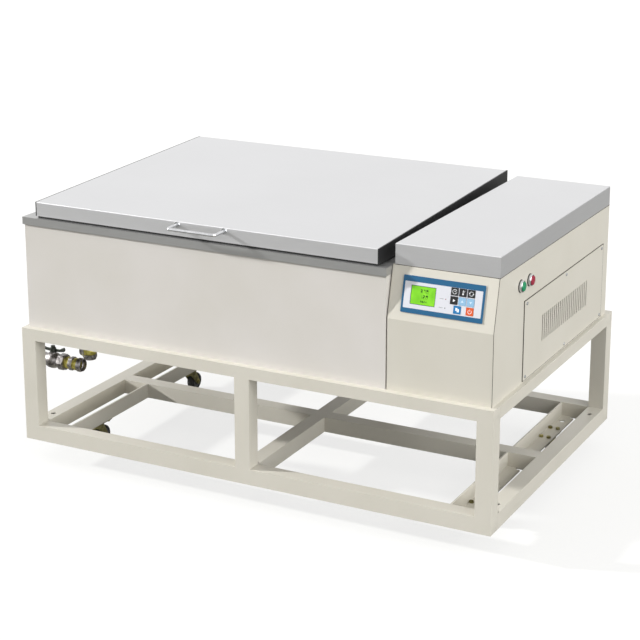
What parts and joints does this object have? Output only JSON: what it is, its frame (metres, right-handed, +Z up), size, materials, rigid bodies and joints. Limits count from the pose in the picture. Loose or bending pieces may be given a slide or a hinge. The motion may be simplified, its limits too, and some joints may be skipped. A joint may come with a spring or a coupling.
{
  "type": "shaking water bath",
  "caption": "Floor-standing shaking water bath: insulated tank, sloping hinged lid, reciprocating tray, control housing and tube stand on swivel casters.",
  "frame": {"origin": "midway between the four levelling-foot holes, on the underside of the stand's bottom rails", "axes": "+X runs to the right as seen from the front, +Y to the rear, +Z up"},
  "size_m": [1.3303, 0.85, 0.714],
  "materials": {
    "ivory_paint": "smooth semi-gloss ivory powder coat",
    "stainless": "brushed stainless sheet",
    "steel": "machined or plated steel",
    "bright_steel": "polished",
    "zinc_plate": "yellow zinc plate",
    "nickel": "nickel-plated brass, satin",
    "brass": "plain brass",
    "lever_metal": "die-cast and painted",
    "wheel_black": "hard black rubber",
    "trim_black": "satin black",
    "seal_rubber": "matt black",
    "blanket": "mineral-wool blanket",
    "bearing_plastic": "natural acetal",
    "belt_rubber": "matt black",
    "motor_paint": "black paint",
    "fascia_blue": "printed polyester membrane",
    "lcd_green": "backlit display",
    "board_green": "circuit board",
    "bezel_chrome": "polished, with black collar",
    "cap_green": "moulded",
    "cap_red": "moulded",
    "key_black": "printed membrane key",
    "key_light_blue": "printed membrane key",
    "key_blue": "printed membrane key",
    "key_orange": "printed membrane key"
  },
  "bodies": {
    "stand": {"stand_bottom_rails": "ivory_paint", "stand_top_rails": "ivory_paint", "stand_posts": "ivory_paint", "stand_floor_braces": "ivory_paint", "caster_rails": "ivory_paint", "caster_plates": "zinc_plate", "tank_casing": "ivory_paint", "tank_liner": "stainless", "tank_insulation": "blanket", "tank_rim": "stainless", "rim_seal": "seal_rubber", "rim_hinge_leaves": "stainless", "drain_elbow": "nickel", "drain_nipples": "brass", "valve_body": "nickel", "tray_rails": "stainless", "heater_element": "stainless", "temperature_probe": "stainless", "drive_bearings": "bearing_plastic", "drive_motor": "motor_paint", "drive_belt": "belt_rubber", "drive_bracket": "steel", "housing_panels": "ivory_paint", "housing_cover": "stainless", "access_panel": "ivory_paint", "access_screws": "steel", "control_fascia": "fascia_blue", "lcd_window": "lcd_green", "control_board": "board_green", "button_housings": "bezel_chrome", "power_inlet": "trim_black"},
    "lid": {"lid_shell": "stainless", "lid_liner": "stainless", "lid_end_trims": "trim_black", "lid_handle": "bright_steel", "lid_hinge_leaves": "stainless"},
    "tray": {"shaker_tray": "stainless", "tray_glides": "bearing_plastic", "drive_yoke": "stainless"},
    "crank": {"crank": "steel"},
    "motor_pulley": {"motor_pulley": "steel"},
    "valve_lever": {"valve_lever": "lever_metal"},
    "start_button": {"start_button": "cap_green"},
    "stop_button": {"stop_button": "cap_red"},
    "key_timer": {"key_timer": "key_black"},
    "key_temperature": {"key_temperature": "key_black"},
    "key_speed": {"key_speed": "key_black"},
    "key_run": {"key_run": "key_black"},
    "key_up": {"key_up": "key_light_blue"},
    "key_down": {"key_down": "key_light_blue"},
    "key_copy": {"key_copy": "key_blue"},
    "key_power": {"key_power": "key_orange"},
    "caster_fork_fl": {"caster_fork_fl": "zinc_plate"},
    "caster_wheel_fl": {"caster_wheel_fl": "wheel_black"},
    "caster_fork_fr": {"caster_fork_fr": "zinc_plate"},
    "caster_wheel_fr": {"caster_wheel_fr": "wheel_black"},
    "caster_fork_rl": {"caster_fork_rl": "zinc_plate"},
    "caster_wheel_rl": {"caster_wheel_rl": "wheel_black"},
    "caster_fork_rr": {"caster_fork_rr": "zinc_plate"},
    "caster_wheel_rr": {"caster_wheel_rr": "wheel_black"}
  },
  "joints": [
    {"name": "lid_hinge", "type": "hinge", "parent": "stand", "child": "lid", "pos_m": [-0.124, 0.395, 0.59], "axis": [-1, 0, 0], "range_deg": [0, 95]},
    {"name": "caster_swivel_fl", "type": "hinge", "parent": "stand", "child": "caster_fork_fl", "pos_m": [-0.544, -0.232, -0.01], "axis": [0, 0, 1], "continuous": true},
    {"name": "caster_roll_fl", "type": "hinge", "parent": "caster_fork_fl", "child": "caster_wheel_fl", "pos_m": [-0.544, -0.212, -0.041], "axis": [1, 0, 0], "continuous": true},
    {"name": "caster_swivel_fr", "type": "hinge", "parent": "stand", "child": "caster_fork_fr", "pos_m": [0.544, -0.232, -0.01], "axis": [0, 0, 1], "continuous": true},
    {"name": "caster_roll_fr", "type": "hinge", "parent": "caster_fork_fr", "child": "caster_wheel_fr", "pos_m": [0.544, -0.212, -0.041], "axis": [1, 0, 0], "continuous": true},
    {"name": "caster_swivel_rl", "type": "hinge", "parent": "stand", "child": "caster_fork_rl", "pos_m": [-0.544, 0.232, -0.01], "axis": [0, 0, 1], "continuous": true},
    {"name": "caster_roll_rl", "type": "hinge", "parent": "caster_fork_rl", "child": "caster_wheel_rl", "pos_m": [-0.544, 0.252, -0.041], "axis": [1, 0, 0], "continuous": true},
    {"name": "caster_swivel_rr", "type": "hinge", "parent": "stand", "child": "caster_fork_rr", "pos_m": [0.544, 0.232, -0.01], "axis": [0, 0, 1], "continuous": true},
    {"name": "caster_roll_rr", "type": "hinge", "parent": "caster_fork_rr", "child": "caster_wheel_rr", "pos_m": [0.544, 0.252, -0.041], "axis": [1, 0, 0], "continuous": true},
    {"name": "valve_turn", "type": "hinge", "parent": "stand", "child": "valve_lever", "pos_m": [-0.609, -0.325, 0.215], "axis": [0, 0, 1], "range_deg": [0, 90]},
    {"name": "tray_slide", "type": "slide", "parent": "stand", "child": "tray", "axis": [1, 0, 0], "range_m": [-0.015, 0.015]},
    {"name": "crank_turn", "type": "hinge", "parent": "stand", "child": "crank", "pos_m": [0.48, -0.0045, 0.5], "axis": [0, 0, -1], "range_deg": [-90, 90]},
    {"name": "motor_pulley_turn", "type": "hinge", "parent": "stand", "child": "motor_pulley", "pos_m": [0.48, -0.1545, 0.49], "axis": [0, 0, -1], "range_deg": [-270, 270]},
    {"name": "start_press", "type": "slide", "parent": "stand", "child": "start_button", "axis": [-1, 0, 0], "range_m": [0, 0.0035], "stiffness_N_per_m": 600},
    {"name": "stop_press", "type": "slide", "parent": "stand", "child": "stop_button", "axis": [-1, 0, 0], "range_m": [0, 0.0035], "stiffness_N_per_m": 600},
    {"name": "timer_press", "type": "slide", "parent": "stand", "child": "key_timer", "axis": [0, 0.972, -0.2349], "range_m": [0, 0.0004], "stiffness_N_per_m": 2000},
    {"name": "temperature_press", "type": "slide", "parent": "stand", "child": "key_temperature", "axis": [0, 0.972, -0.2349], "range_m": [0, 0.0004], "stiffness_N_per_m": 2000},
    {"name": "speed_press", "type": "slide", "parent": "stand", "child": "key_speed", "axis": [0, 0.972, -0.2349], "range_m": [0, 0.0004], "stiffness_N_per_m": 2000},
    {"name": "run_press", "type": "slide", "parent": "stand", "child": "key_run", "axis": [0, 0.972, -0.2349], "range_m": [0, 0.0004], "stiffness_N_per_m": 2000},
    {"name": "up_press", "type": "slide", "parent": "stand", "child": "key_up", "axis": [0, 0.972, -0.2349], "range_m": [0, 0.0004], "stiffness_N_per_m": 2000},
    {"name": "down_press", "type": "slide", "parent": "stand", "child": "key_down", "axis": [0, 0.972, -0.2349], "range_m": [0, 0.0004], "stiffness_N_per_m": 2000},
    {"name": "copy_press", "type": "slide", "parent": "stand", "child": "key_copy", "axis": [0, 0.972, -0.2349], "range_m": [0, 0.0004], "stiffness_N_per_m": 2000},
    {"name": "power_press", "type": "slide", "parent": "stand", "child": "key_power", "axis": [0, 0.972, -0.2349], "range_m": [0, 0.0004], "stiffness_N_per_m": 2000}
  ],
  "couplings": [
    {"joint": "crank_turn", "follows": "tray_slide", "rad_per_m": 104.72},
    {"joint": "motor_pulley_turn", "follows": "tray_slide", "rad_per_m": 314.16}
  ]
}
